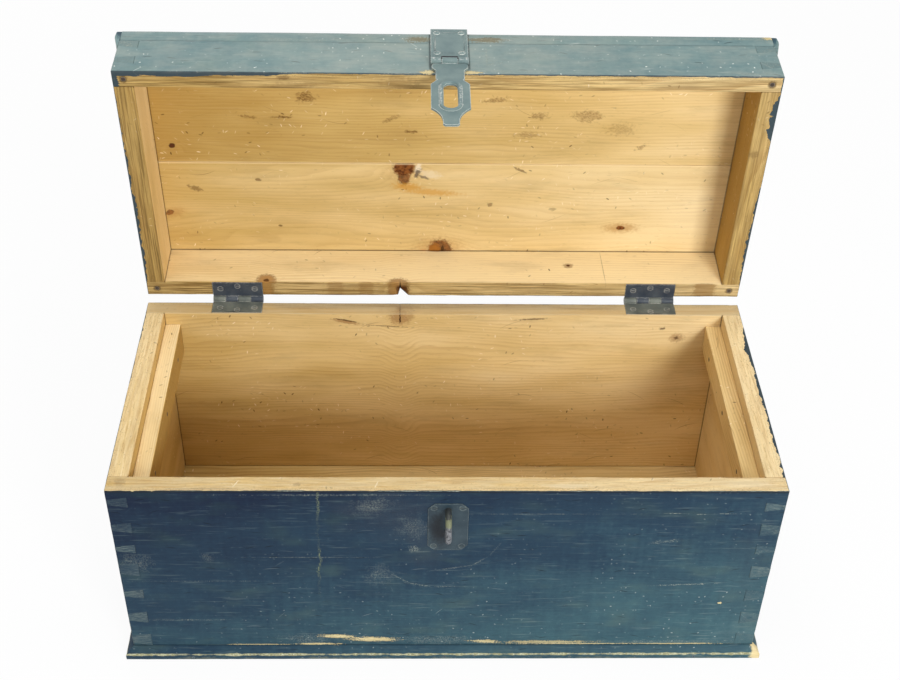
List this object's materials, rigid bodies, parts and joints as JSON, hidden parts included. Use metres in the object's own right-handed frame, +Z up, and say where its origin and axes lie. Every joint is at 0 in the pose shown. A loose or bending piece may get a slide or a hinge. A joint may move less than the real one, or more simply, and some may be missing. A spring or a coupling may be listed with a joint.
{
  "type": "carpenters tool chest",
  "caption": "Dovetailed pine tool chest, painted outside and bare inside, with a hinged framed lid, tray runners, a moulded base, and a hasp that drops over a staple.",
  "frame": {"origin": "middle of the underside of the base, on the floor", "axes": "+X to the chest's right as seen from the front, +Y to its back, +Z up"},
  "size_m": [0.696, 0.4088, 0.5711],
  "materials": {
    "painted_pine": "worn blue-grey milk paint over pine, rubbed through at the arrises",
    "bare_pine": "bare aged pine",
    "nail_iron": "dark rusty iron",
    "hinge_steel": "dull blue-grey steel with rust",
    "hasp_steel": "worn steel with remains of paint",
    "painted_steel": "painted over with the chest, worn at the edges"
  },
  "bodies": {
    "case": {"front_board": "painted_pine", "back_board": "painted_pine", "left_end_board": "painted_pine", "right_end_board": "painted_pine", "bottom_board_front": "bare_pine", "bottom_board_back": "bare_pine", "bottom_nails": "nail_iron", "base_moulding_front": "painted_pine", "base_moulding_back": "painted_pine", "base_moulding_left": "painted_pine", "base_moulding_right": "painted_pine", "base_moulding_brads": "nail_iron", "left_tray_runner": "bare_pine", "right_tray_runner": "bare_pine", "runner_nails": "nail_iron", "left_hinge_case_leaf": "hinge_steel", "right_hinge_case_leaf": "hinge_steel", "left_hinge_pin": "hinge_steel", "right_hinge_pin": "hinge_steel", "hinge_case_screws": "hinge_steel", "staple_plate": "painted_steel", "staple": "hasp_steel", "staple_plate_screws": "painted_steel"},
    "lid": {"lid_front_rail": "painted_pine", "lid_back_rail": "painted_pine", "lid_left_rail": "painted_pine", "lid_right_rail": "painted_pine", "lid_board_front": "painted_pine", "lid_board_back": "painted_pine", "lid_board_nails": "nail_iron", "lid_corner_nails": "nail_iron", "lid_left_cleat": "painted_pine", "lid_right_cleat": "painted_pine", "lid_cleat_brads": "nail_iron", "left_hinge_lid_leaf": "hinge_steel", "right_hinge_lid_leaf": "hinge_steel", "hinge_lid_screws": "hinge_steel", "hasp_fixed_leaf": "hasp_steel", "hasp_leaf_screws": "hasp_steel", "hasp_pin": "hasp_steel"},
    "hasp": {"hasp_swing_plate": "hasp_steel"}
  },
  "joints": [
    {"name": "lid_hinge", "type": "hinge", "parent": "case", "child": "lid", "pos_m": [0, 0.156, 0.2564], "axis": [-1, 0, 0], "range_deg": [-86, 94]},
    {"name": "hasp_hinge", "type": "hinge", "parent": "lid", "child": "hasp", "pos_m": [0, 0.15275, 0.56668], "axis": [-1, 0, 0], "range_deg": [0, 170]}
  ]
}
